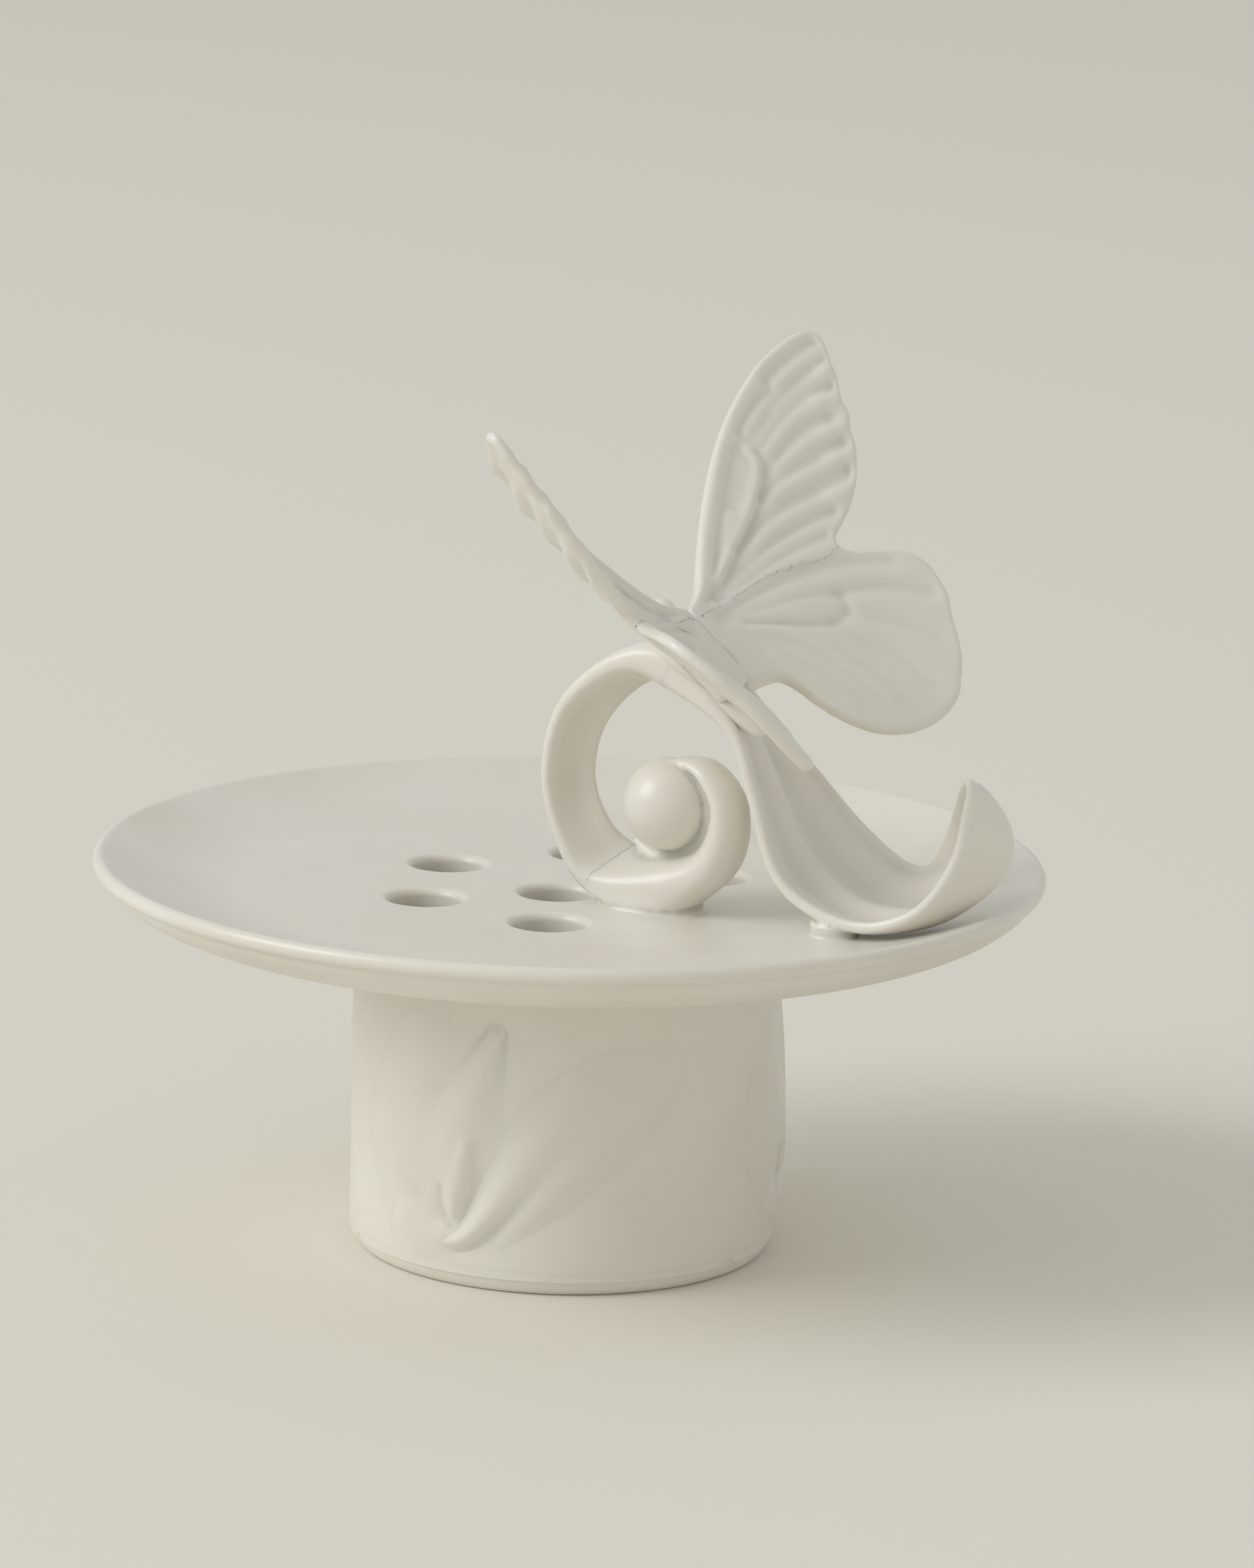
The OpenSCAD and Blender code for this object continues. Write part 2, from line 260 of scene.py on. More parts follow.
def tidy_owners(mesh, owner, parts, passes=14, least=400):
    """Straightens the borders between parts and gives stray patches to their neighbours."""
    a, b = face_pairs(mesh)
    count = len(owner)

    def votes(owner, own_weight):
        tally = np.zeros((count, parts))
        np.add.at(tally, (a, owner[b]), 1)
        np.add.at(tally, (b, owner[a]), 1)
        tally[np.arange(count), owner] += own_weight
        return tally

    for _ in range(passes):
        owner = votes(owner, 1.5).argmax(1)
    inner = owner[a] == owner[b]
    patch = np.arange(count)
    while True:
        low = np.minimum(patch[a[inner]], patch[b[inner]])
        linked = patch.copy()
        np.minimum.at(linked, a[inner], low)
        np.minimum.at(linked, b[inner], low)
        linked = linked[linked]
        if (linked == patch).all():
            break
        patch = linked
    stray = np.bincount(patch, minlength=count)[patch] < least
    for _ in range(60):
        if not stray.any():
            break
        tally = votes(owner, 0)
        tally[np.arange(count), owner] = 0
        moved = stray & (tally.max(1) > 0)
        owner = np.where(moved, tally.argmax(1), owner)
        stray &= ~moved
    return owner


def fuse(parts, voxel, passes):
    """Fuses closed parts as slip and glaze do, with a soft fillet in each corner, and marks
    whose each face is. Returns the fused mesh, with its normals kept in "fused_normal"."""
    vertices, faces, owner = joined(parts)
    raw = bpy.data.meshes.new("raw")
    raw.from_pydata((vertices * MM).tolist(), [], faces)
    holder = added("raw", raw)
    remesh = holder.modifiers.new("voxels", "REMESH")
    remesh.mode, remesh.voxel_size = "VOXEL", voxel * MM
    smooth = holder.modifiers.new("glaze", "SMOOTH")
    smooth.factor, smooth.iterations = 0.5, passes
    mesh = baked(holder)
    bpy.data.objects.remove(holder)

    tree = BVHTree.FromPolygons((vertices * MM).tolist(), faces)
    near = np.array([owner[tree.find_nearest(p.center)[2]] for p in mesh.polygons])
    near = tidy_owners(mesh, near, len(parts))
    mesh.attributes.new("part", "INT", "FACE").data.foreach_set("value", near.astype(np.int32))
    mark_pool_and_shade_curvature(mesh)
    normal = read(mesh.vertex_normals, "vector", 3, np.float32).ravel()
    mesh.attributes.new("fused_normal", "FLOAT_VECTOR", "POINT").data.foreach_set("vector", normal)
    return mesh


def cut_piece(name, fused, number):
    """One part of a fused mesh as a closed piece of its own. Its cuts are capped inside, and
    it keeps the fused surface's normals, so that no line shows where the parts meet."""
    work = bmesh.new()
    work.from_mesh(fused)
    part = work.faces.layers.int["part"]
    others = [f for f in work.faces if f[part] != number]
    bmesh.ops.delete(work, geom=others, context="FACES")
    cuts = [e for e in work.edges if e.is_boundary]
    caps = bmesh.ops.holes_fill(work, edges=cuts, sides=0)["faces"]
    for cap in caps:
        cap[part] = -1
    bmesh.ops.triangulate(work, faces=caps, ngon_method="BEAUTY")
    mesh = bpy.data.meshes.new(name)
    work.to_mesh(mesh)
    work.free()
    shade(mesh)
    kept = mesh.attributes["fused_normal"].data
    owner = mesh.attributes["part"].data
    normals = []
    for face in mesh.polygons:
        outer = owner[face.index].value == number
        normals += [kept[v].vector if outer else face.normal for v in face.vertices]
    mesh.normals_split_custom_set([tuple(n) for n in normals])
    for spare in ("fused_normal", "part"):
        mesh.attributes.remove(mesh.attributes[spare])
    return added(name, mesh)


def finish_piece(piece, *nodes):
    """Glazes a piece and lets it stand for its CAD nodes."""
    if "pool_and_shade_curvature" not in piece.data.attributes:
        mark_pool_and_shade_curvature(piece.data)
    piece.data.materials.clear()
    piece.data.materials.append(bpy.data.materials[GLAZE])
    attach(piece, BODY)
    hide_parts(*nodes)
    return piece


# ---- Materials ---------------------------------------------------------------

class Field:
    """A shader socket that works as a number in an expression."""

    def __init__(self, maker, socket):
        self.maker, self.socket = maker, socket

    def _with(self, operation, *values):
        return self.maker.add("ShaderNodeMath", {"operation": operation}, values)

    def __add__(self, other):
        return self._with("ADD", self, other)

    def __sub__(self, other):
        return self._with("SUBTRACT", self, other)

    def __rsub__(self, other):
        return self._with("SUBTRACT", other, self)

    def __mul__(self, other):
        return self._with("MULTIPLY", self, other)

    def clamped(self, low, high):
        """0 at low and 1 at high, and held there outside them."""
        return self.maker.add("ShaderNodeMapRange", {}, {
            "Value": self, "From Min": low, "From Max": high,
        })

    __radd__ = __add__
    __rmul__ = __mul__


class ShaderMaker:
    """Adds nodes to a material's tree."""

    def __init__(self, material):
        material.use_nodes = True
        self.tree = material.node_tree
        self.tree.nodes.clear()

    def add(self, kind, settings=None, values=None, output=0):
        """A node of a kind, with its settings and then its sockets' values or links."""
        node = self.tree.nodes.new(kind)
        for name, value in (settings or {}).items():
            setattr(node, name, value)
        pairs = values.items() if isinstance(values, dict) else enumerate(values or ())
        for key, value in pairs:
            if isinstance(value, Field):
                self.tree.links.new(value.socket, node.inputs[key])
            else:
                node.inputs[key].default_value = value
        return Field(self, node.outputs[output]) if node.outputs else None

    def mix(self, factor, first, second):
        """A colour between first and second."""
        node = self.tree.nodes.new("ShaderNodeMix")
        node.data_type = "RGBA"
        colour_sockets = [s for s in node.inputs if s.type == "RGBA"]
        factor_socket = next(s for s in node.inputs if s.type == "VALUE" and s.enabled)
        for socket, value in ((factor_socket, factor), *zip(colour_sockets, (first, second))):
            if isinstance(value, Field):
                self.tree.links.new(value.socket, socket)
            else:
                socket.default_value = value
        return Field(self, next(s for s in node.outputs if s.type == "RGBA"))

    def noise(self, size_mm, detail=2.0, roughness=0.5):
        """Noise from 0 to 1, whose blotches are about size_mm across."""
        place = self.add("ShaderNodeTexCoord", output=3)
        return self.add("ShaderNodeTexNoise", {}, {
            "Vector": place, "Scale": 1 / (size_mm * MM), "Detail": detail,
            "Roughness": roughness,
        })


def glaze_material(look):
    """Satin glaze over ivory porcelain: thin and pale on edges, deeper and greyer in hollows,
    where pooled glaze and painted shade darken it.
    """
    material = bpy.data.materials.new(GLAZE)
    make = ShaderMaker(material)
    bend_field = make.add("ShaderNodeAttribute", {"attribute_name": "pool_and_shade_curvature"}, output=2)
    hollow = bend_field.clamped(0.02, 0.35)
    edge = (0 - bend_field).clamped(0.05, 0.6)
    cloud = make.noise(34, detail=3.0)
    speckle = make.noise(1.1, detail=4.0, roughness=0.65).clamped(0.70, 0.78)
    body = make.mix(cloud.clamped(0.35, 0.65), (*look.glaze_colour, 1), (*look.warm_colour, 1))
    # Hollows are darkened towards the pooled colour: partly pooled glaze, partly painted shade in
    # creases and recesses.
    pooled_and_shaded = make.mix(hollow * 0.75, body, (*look.pool_and_shade_colour, 1))
    edged = make.mix(edge * 0.5, pooled_and_shaded, (*look.edge_colour, 1))
    colour = make.mix(speckle * 0.10, edged, (*look.pool_and_shade_colour, 1))
    roughness = look.roughness + 0.10 * make.noise(9, detail=3.0) - 0.06 * hollow - 0.03
    height = 1.0 * make.noise(15, detail=1.0) + 0.05 * make.noise(1.6, detail=3.0)
    bump = make.add("ShaderNodeBump", {}, {
        "Strength": 0.35, "Distance": 0.25 * MM, "Height": height,
    })
    shader = make.add("ShaderNodeBsdfPrincipled", {}, {
        "Base Color": colour, "Roughness": roughness, "Normal": bump,
        "IOR": 1.5, "Specular IOR Level": 0.5,
        "Coat Weight": 0.35, "Coat Roughness": look.coat_roughness, "Coat IOR": 1.5,
        "Subsurface Weight": look.translucency, "Subsurface Scale": 2.0 * MM,
        "Subsurface Radius": (1.0, 0.85, 0.65),
    })
    make.add("ShaderNodeOutputMaterial", {}, {"Surface": shader})
    return material


def floor_material(look):
    """Matt pale card, with a trace of tooth."""
    material = bpy.data.materials.new("pale card")
    make = ShaderMaker(material)
    tooth = make.noise(3.0, detail=3.0)
    colour = make.mix(tooth * 0.5, (*look.floor_colour, 1), (*look.floor_colour, 1))
    shader = make.add("ShaderNodeBsdfPrincipled", {}, {
        "Base Color": colour, "Roughness": 0.85 + 0.1 * tooth, "Specular IOR Level": 0.2,
    })
    make.add("ShaderNodeOutputMaterial", {}, {"Surface": shader})
    return material


# ---- Saucer ------------------------------------------------------------------

def dish_profile(sizes):
    """The saucer's closed half section, as (radius, z) points from the axis and back to it."""
    flat_r, seat_r = sizes.floor_width / MM / 2, sizes.seat_width / MM / 2
    rim = sizes.rim_thickness / MM / 2
    rim_r, rim_z = PLATE_R - rim, RIM_TOP - rim
    t = np.linspace(0, 1, 40)
    inside = np.stack([
        flat_r + (rim_r - flat_r) * t,
        FLOOR_Z + (RIM_TOP - FLOOR_Z) * (1 - np.cos(t * math.pi / 2)),
    ], 1)
    a = np.radians(np.arange(84, -85, -7))
    rolled = np.stack([rim_r + rim * np.cos(a), rim_z + rim * np.sin(a)], 1)
    t, fullness = t[::-1], 1.6
    outside = np.stack([
        seat_r + (rim_r - seat_r) * t,
        SEAT_Z + (rim_z - rim - SEAT_Z) * (1 - (1 - t**fullness) ** (1 / fullness)),
    ], 1)
    flat = [[CORE, FLOOR_Z], [flat_r / 2, FLOOR_Z]]
    under = [[COLLAR_R, SEAT_Z], [COLLAR_R, COLLAR_TOP], [CORE, COLLAR_TOP]]
    return np.vstack([flat, inside, rolled, outside, under])


def hole_cutter(sizes):
    """The solid that drills one stem hole: a straight wall with a rounded lip above it."""
    r, lip = sizes.hole_width / MM / 2, sizes.lip_radius / MM
    a = np.radians(np.linspace(180, 90, 13))
    rounded = np.stack([r + lip + lip * np.cos(a), FLOOR_Z - lip + lip * np.sin(a)], 1)
    low, high = SEAT_Z - 2, FLOOR_Z + 2
    profile = np.vstack([[[CORE, low], [r, low]], rounded, [[r + lip, high], [CORE, high]]])
    return new_piece("hole_cutter", *lathe(profile, 96), crease=180)


def pierced_tree():
    """Geometry nodes that drill stem holes round a ring, and one near the middle."""
    tree = bpy.data.node_groups.new("stem holes", "GeometryNodeTree")
    face = tree.interface
    face.new_socket("Geometry", in_out="INPUT", socket_type="NodeSocketGeometry")
    for name, kind in (("Cutter", "Object"), ("Ring Radius", "Float"), ("First Turn", "Float"),
                       ("Spacing", "Float"), ("Ring Holes", "Int"), ("Middle Hole", "Vector"),
                       ("Material", "Material")):
        face.new_socket(name, in_out="INPUT", socket_type=f"NodeSocket{kind}")
    face.new_socket("Geometry", in_out="OUTPUT", socket_type="NodeSocketGeometry")
    nodes, link = tree.nodes, tree.links.new
    given = nodes.new("NodeGroupInput").outputs

    def made(kind, links, **settings):
        node = nodes.new(kind)
        for name, value in settings.items():
            setattr(node, name, value)
        for key, value in links.items():
            if isinstance(value, bpy.types.NodeSocket):
                link(value, node.inputs[key])
            else:
                node.inputs[key].default_value = value
        return node.outputs

    def maths(operation, *values):
        return made("ShaderNodeMath", dict(enumerate(values)), operation=operation)[0]

    number = made("GeometryNodeInputIndex", {})[0]
    angle = maths("MULTIPLY_ADD", number, given["Spacing"], given["First Turn"])
    x = maths("MULTIPLY", maths("COSINE", angle), given["Ring Radius"])
    y = maths("MULTIPLY", maths("SINE", angle), given["Ring Radius"])
    place = made("ShaderNodeCombineXYZ", {"X": x, "Y": y})[0]
    ring = made("GeometryNodePoints", {"Count": given["Ring Holes"], "Position": place})[0]
    middle = made("GeometryNodePoints", {"Count": 1, "Position": given["Middle Hole"]})[0]
    points = made("GeometryNodeJoinGeometry", {})[0]
    link(ring, points.node.inputs[0])
    link(middle, points.node.inputs[0])
    drill = made("GeometryNodeObjectInfo", {"Object": given["Cutter"]})["Geometry"]
    drills = made("GeometryNodeInstanceOnPoints", {"Points": points, "Instance": drill})[0]
    solid = made("GeometryNodeRealizeInstances", {"Geometry": drills})[0]
    pierced = nodes.new("GeometryNodeMeshBoolean")
    pierced.operation = "DIFFERENCE"
    pierced.solver = "EXACT"
    link(given["Geometry"], pierced.inputs["Mesh 1"])
    link(solid, pierced.inputs["Mesh 2"])
    whole = made("GeometryNodeRealizeInstances", {"Geometry": pierced.outputs[0]})[0]
    glazed = made("GeometryNodeSetMaterial",
                  {"Geometry": whole, "Material": given["Material"]})[0]
    link(glazed, nodes.new("NodeGroupOutput").inputs[0])
    return tree


def pierce(blank, cutter, sizes):
    """Runs the stem hole nodes on a saucer blank and returns the plain mesh they make."""
    holes = blank.modifiers.new("stem holes", "NODES")
    holes.node_group = pierced_tree()
    values = {
        "Cutter": cutter,
        "Ring Radius": sizes.hole_ring / 2,
        "First Turn": sizes.first_hole,
        "Spacing": math.tau / 6,
        "Ring Holes": sizes.ring_holes,
        "Middle Hole": (sizes.middle_x, sizes.middle_y, 0),
        "Material": bpy.data.materials[GLAZE],
    }
    for item in holes.node_group.interface.items_tree:
        if item.in_out == "INPUT" and item.name in values:
            holes[item.identifier] = values[item.name]
    blank.data = baked(blank)
    bpy.data.objects.remove(cutter)
    shade(blank.data, CREASE)
    return blank


# ---- Collar and tulips -------------------------------------------------------

# Petals and leaves in relief, as (spine of (angle, z, half width) points, height, share of
# it that is left at the far end). Angles are in degrees to the right of the collar's front,
# and the rest in millimetres.
BLOOM = [
    ([(-31.5, 10, 1.2), (-31.5, 17, 2.7), (-30.3, 25, 4.3), (-26.2, 32, 3.2),
      (-21.6, 38.5, 1.9), (-18.4, 44, 0.9)], 2.3, 0.65),
    ([(-29.6, 12, 1.0), (-27.8, 18, 1.5), (-25.6, 25.4, 0.8)], 1.5, 0.8),
    ([(-33.4, 19, 1.0), (-32.4, 13.5, 1.4), (-30.8, 10.5, 1.1)], -1.2, 0.6),
    ([(-45, 12, 2.2), (-50, 20, 3.6), (-51, 28, 3.8), (-47.5, 37, 3.0), (-45, 44, 2.2)],
     1.2, 0.1),
    ([(-38, 15, 1.8), (-42, 24, 2.4), (-41.5, 34, 2.8), (-37.5, 42, 2.4), (-36, 47, 2.0)],
     0.9, 0.1),
    ([(-49, 12.5, 2.2), (-43, 9.8, 3.2), (-36, 8.4, 2.8), (-29.5, 9.4, 1.6)], 1.2, 0.5),
]
LEAF = [
    ([(-34, 7.6, 0.7), (-26, 9.2, 1.2), (-18.5, 14.6, 1.9), (-10.5, 22, 2.8), (-1, 29.6, 3.4),
      (10, 36, 3.6), (22, 41.2, 3.4)], 2.5, 0.02),
    ([(-16, 9.0, 1.0), (-5, 16.6, 2.2), (6, 24.2, 3.0), (18, 31.8, 3.2), (28, 38, 2.8),
      (33, 41, 2.4)], 1.0, 0.05),
]
RELIEF_LIMIT = 5.0              # which the relief's height nears where fronds pile up
RELIEF_LOW = 2.6                # height of the plain band round the collar's foot
MM_PER_DEGREE = COLLAR_R * math.pi / 180


def on_wall(points):
    """(angle, z) points as distances on the unrolled wall."""
    return np.asarray(points, float) * [MM_PER_DEGREE, 1]


def relief_height(flat, fronds):
    """How far the relief stands off the wall at points on the unrolled wall."""
    height = np.zeros(flat.shape[:-1])
    for spine, rise, left in fronds:
        line = curve_of(spine, 80)
        gap, along = nearest(flat, on_wall(line[:, :2]))
        width = line[np.rint(along * (len(line) - 1)).astype(int), 2]
        swell = (0.25 + 0.75 * step(along, 0, 0.22)) * (1 - (1 - left) * step(along, 0.3, 1))
        height += rise * swell * np.exp(-(gap / (1.1 * width)) ** 2.1)
    height = np.clip(height, 0, None)
    return height * RELIEF_LIMIT / (RELIEF_LIMIT + height)


def softened(grid, passes):
    """A height grid with its steps rounded, as glaze rounds them."""
    for _ in range(passes):
        inner = 0.25 * (grid[:-2, 1:-1] + grid[2:, 1:-1] + grid[1:-1, :-2] + grid[1:-1, 2:])
        grid = grid.copy()
        grid[1:-1, 1:-1] = 0.5 * grid[1:-1, 1:-1] + 0.5 * inner
    return grid


def relief_shell(fronds, pitch=0.3, root=0.9, sink=0.04, margin=10, soft=8):
    """A closed shell on the front of the wall, whose outer face carries a relief and sinks
    just under the wall outside it."""
    spread = np.vstack([on_wall(np.array(spine)[:, :2]) for spine, *_ in fronds])
    low, high = spread.min(0) - margin, spread.max(0) + margin
    low[1], high[1] = max(low[1], RELIEF_LOW), min(high[1], SEAT_Z - 0.5)
    across = np.arange(low[0], high[0], pitch)
    up = np.arange(low[1], high[1], pitch)
    flat = np.stack(np.meshgrid(across, up, indexing="ij"), -1)
    edge = np.minimum(step(flat[..., 1], low[1], low[1] + 3),
                      1 - step(flat[..., 1], high[1] - 4, high[1] - 0.6))
    height = softened(relief_height(flat, fronds) * edge, soft) - sink

    def wrapped(proud):
        angle = flat[..., 0] / COLLAR_R
        r = COLLAR_R + proud
        return np.stack([r * np.sin(angle), -r * np.cos(angle), flat[..., 1]], -1)

    front, back = wrapped(height), wrapped(np.full(height.shape, -root))
    m, n = height.shape
    number = np.arange(2 * m * n).reshape(2, m, n)
    faces = []
    for sheet in number:
        quads = [sheet[:-1, :-1], sheet[1:, :-1], sheet[1:, 1:], sheet[:-1, 1:]]
        faces += np.stack(quads, -1).reshape(-1, 4).tolist()
    for line in ((slice(None), 0), (slice(None), n - 1), (0, slice(None)), (m - 1, slice(None))):
        a, b = number[0][line], number[1][line]
        faces += np.stack([a[:-1], a[1:], b[1:], b[:-1]], -1).tolist()
    return np.vstack([front.reshape(-1, 3), back.reshape(-1, 3)]), faces


def collar_profile(sizes):
    """The collar's closed half section, with its foot's outer edge rounded."""
    wall, foot = sizes.wall / MM, sizes.foot_radius / MM
    inner = COLLAR_R - wall
    a = np.radians(np.linspace(-90, 0, 13))
    tall = 2 * foot
    rounded = np.stack([COLLAR_R - foot + foot * np.cos(a), tall + tall * np.sin(a)], 1)
    up = np.stack([np.full(60, COLLAR_R), np.linspace(tall, COLLAR_TOP, 61)[1:]], 1)
    down = np.stack([np.full(20, inner), np.linspace(COLLAR_TOP, 0.6, 20)], 1)
    return np.vstack([[[inner + 0.6, 0]], rounded, up, down])


# ---- Scroll ------------------------------------------------------------------

PEARL_OUT = 21.1                # from the axis to the pearl, along the scroll's plane
SLIP_DEPTH = 0.8                # how far the pad and the mound of slip go under the floor


def turn_point(turn, r, away):
    """A point of the scroll by its clockwise turn from straight above the pearl."""
    t = math.radians(turn)
    return [PEARL_OUT + r * math.sin(t), away, PEARL_AT[2] + r * math.cos(t)]


def coil(turn, near_r, near, far_r, far, *section):
    """A station round the pearl, from its edges' radii and their places from the front."""
    return turn_point(turn, near_r, near), turn_point(turn, far_r, far), *section


# Each station of the ribbon: near edge, far edge, dish of the middle, thickness, squareness.
# Points are (across, away from the front, up) in the scroll's own upright plane.
STATIONS = [
    coil(10, 8.0, -7, 8.0, -3, 0, 0.8, 2),
    coil(50, 9.2, -9, 9.0, -1, 0.6, 3.6, 2),
    coil(90, 10.8, -10, 10.2, 0, 0.8, 5.6, 2),
    coil(135, 12.2, -10.5, 11.2, 1, 0.8, 7.4, 2.2),
    coil(180, 14.2, -10.5, 11.8, 1, 0.5, 8.6, 2.4),
    coil(222, 19.6, -9.5, 12.4, 0, 0.8, 4.6, 3),
    coil(250, 20.2, -9.5, 13.6, -2, 1.2, 2.6, 4),
    coil(280, 21.8, -9.5, 15.8, -2, 1.3, 2.2, 5),
    coil(310, 24.0, -9.5, 18.2, -1, 1.2, 2.8, 4),
    coil(340, 25.0, -9.5, 21.0, 1, 0.8, 4.6, 3),
    coil(362, 23.0, -9.5, 22.4, 5, 0.2, 7.6, 3),
    ((33.6, -9.5, 94.6), (33.0, 9, 92.5), -1.0, 2.8, 4),
    ((38.0, -9.5, 84.1), (38.6, 15, 83.0), -1.8, 2.2, 5),
    ((42.4, -9.5, 71.3), (46.6, 17, 74.5), -2.4, 2.2, 5),
    ((49.3, -9.5, 65.7), (54.0, 17, 69.5), -2.6, 2.2, 5),
    ((59.0, -9.5, 64.0), (59.4, 15, 69.6), -3.0, 2.2, 5),
    ((68.6, -9.5, 68.2), (63.0, 12, 73.6), -6.5, 2.2, 5),
    ((74.6, -9.5, 77.0), (66.5, 8, 80.0), -9.5, 2.2, 5),
    ((76.6, -9.5, 86.0), (72.4, -2, 88.0), -4.5, 1.8, 5),
    ((76.8, -9.0, 90.5), (76.2, -8, 90.6), 0, 1.2, 2),
]
VOLUTE_END, RING_END, LEAF_END = 5, 10, len(STATIONS) - 1


def leaf_relief(s, w):
    """The leaf's two soft lengthwise ridges and its raised edges, on its upper face."""
    fade = step(s, RING_END + 0.3, RING_END + 1.8) * (1 - step(s, LEAF_END - 1.6, LEAF_END - 0.4))
    ridges = 0.75 * np.exp(-((w - 0.42) / 0.08) ** 2) - 0.70 * np.exp(-((w - 0.24) / 0.09) ** 2)
    hollow = -0.65 * np.exp(-((w - 0.62) / 0.10) ** 2) + 0.35 * np.exp(-((w - 0.80) / 0.07) ** 2)
    rims = 0.45 * np.exp(-(w / 0.05) ** 2) + 0.45 * np.exp(-((1 - w) / 0.05) ** 2)
    return fade * (ridges + hollow + rims)


def ribbon_rings(first, last, per_station=22, across=44):
    """Rings round the ribbon between two stations, in the frame's axes."""
    near, away, dish, thick, square = (
        np.array([station[k] for station in STATIONS], float) for k in range(5))
    middle = (near + away) / 2
    scalars = np.stack([dish, thick, square], 1)

    def mid_surface(s, w):
        a, b = curve(near, s), curve(away, s)
        on = curve(middle, s + 0.05) - curve(middle, s - 0.05)
        out = unit(np.cross(on, b - a))
        bend = curve(scalars, s)[..., :1]
        w = w[..., None]
        return a + (b - a) * w + out * bend * 4 * w * (1 - w)

    s = np.linspace(first, last, round((last - first) * per_station) + 1)[:, None]
    lane = (1 - np.cos(math.pi * np.arange(across + 1) / across)) / 2
    w = np.concatenate([lane, lane[-2:0:-1]])[None, :]
    side = np.concatenate([np.ones(across + 1), -np.ones(across - 1)])[None, :]
    s, w, side = (np.broadcast_to(x, (len(s), w.shape[1])) for x in (s, w, side))
    half = np.full(s.shape, 0.5)
    on = mid_surface(s + 0.04, half) - mid_surface(s - 0.04, half)
    over = unit(np.cross(on, mid_surface(s, np.minimum(w + 0.02, 1))
                         - mid_surface(s, np.maximum(w - 0.02, 0))))
    found = curve(scalars, s)
    thickness, squareness = found[..., 1], found[..., 2]
    edge = np.maximum(0, 1 - np.abs(2 * w - 1) ** squareness) ** (1 / squareness)
    lift = side * thickness / 2 * edge + np.where(side > 0, leaf_relief(s, w) * edge**0.5, 0)
    rings = mid_surface(s, w) + over * lift[..., None]
    return turned_z(rings, -SCROLL_TURN)


def bead_rings(first=28, last=226, number=90, turns=28):
    """The bead of slip that beds the pearl in the volute, round its front."""
    t = np.linspace(0, 1, number)
    spot = np.array([turn_point(first + (last - first) * k, 8.5 + 2.0 * k**2, -6.6 + 4.2 * k**2)
                     for k in t])
    spot = turned_z(spot, -SCROLL_TURN)
    on = unit(np.gradient(spot, axis=0))
    out = unit(spot - PEARL_AT)
    over = unit(np.cross(on, out))
    r = (0.2 + (1.3 + 0.8 * t) * np.sin(math.pi * np.clip(t, 0.02, 0.98)) ** 0.5)[:, None, None]
    a = np.linspace(0, math.tau, turns, endpoint=False)[None, :, None]
    return spot[:, None] + r * (np.cos(a) * out[:, None] + np.sin(a) * over[:, None])


def footed(rings, spread=2.3, height=4.0, sink=0.4):
    """Spreads a ribbon where it meets the saucer's floor, as slip fills such a corner."""
    out = unit((rings - rings.mean(1, keepdims=True)) * [1, 1, 0])
    low = np.clip(1 - (rings[..., 2] - FLOOR_Z) / height, 0, 1)
    rings = rings + out * (spread * low**2.2)[..., None]
    rings[..., 2] = np.maximum(rings[..., 2], FLOOR_Z - sink)
    return rings


# ---- Butterfly ---------------------------------------------------------------

def on_fly(points):
    """Points of the butterfly's own frame, x right, y to the head and z off its back."""
    climb = np.array(Matrix.Rotation(FLY_CLIMB, 3, "X"))
    turn = np.array(Matrix.Rotation(FLY_TURN, 3, "Z"))
    return (points.reshape(-1, 3) @ (turn @ climb).T + FLY_AT).reshape(points.shape)


def body_rings(profile, number, lift=0.0, turns=64):
    """A round body along y from (y, radius) points, raised off the wings' plane by lift."""
    y, r = curve_of(profile, number).T
    r = np.maximum(r, 0.02)[:, None]
    angle = np.linspace(0, 2 * math.pi, turns, endpoint=False)
    y = np.repeat(y[:, None], turns, 1)
    return on_fly(np.stack([r * np.cos(angle), y, r * np.sin(angle) + lift], -1))


THORAX = [(-13.5, 0), (-11.5, 2.6), (-6, 3.8), (-1.5, 3), (0.6, 0)]
ABDOMEN = [(-25, 0), (-23.5, 1.5), (-18, 2.7), (-12, 2.5), (-9, 0)]
HEAD = [(-0.9, 0), (0.1, 1.8), (2.0, 2.4), (3.8, 1.7), (4.5, 0)]

# Each wing in its own plane, x out from the body and y towards the head: a point that sees
# all of it, and its outline from the front round to the back.
FORE_MIDDLE = (30, 8)
FORE_OUTLINE = [
    (0.6, -1.2), (6.8, 1.5), (12.1, 6.1), (18, 11.2), (24.4, 16.2), (30.6, 20.5), (37.7, 24.7),
    (45.3, 28.1), (52.3, 30.4), (59.2, 31.3), (63.7, 31.0), (65.6, 28.9), (64.9, 25.6),
    (63.6, 23.2), (62.6, 20.6), (60.3, 17.2), (59.4, 14.3), (57.2, 11.4), (56.1, 9.2),
    (53.9, 6.4), (50.5, 3.1), (46.3, 0.3), (42.3, -1.6), (39.2, -3.0), (37.2, -5.6), (30, -4.7),
    (20, -3.0), (10, -3.0), (1.6, -3.6),
]
HIND_MIDDLE = (9, -8)
HIND_OUTLINE = [
    (0.6, -1.6), (10, -1.6), (20, -1.6), (30, -3.2), (37.4, -4.3), (39.9, -6.2), (43.3, -8.2),
    (47.2, -10.2), (49.6, -12.8), (50.5, -15.7), (50.1, -19), (49.1, -22.2), (47, -25.2),
    (45.2, -28.4), (42.6, -32.1), (39, -35.5), (36.1, -37.5), (31.8, -38.7), (27, -38.7),
    (22.2, -37.4), (18.4, -35.1), (15.6, -32), (13.5, -28.4), (12.1, -24.7), (11.2, -21.5),
    (9.9, -19.3), (8.2, -18.3), (5.5, -17.8), (1.5, -17), (0.4, -12),
]

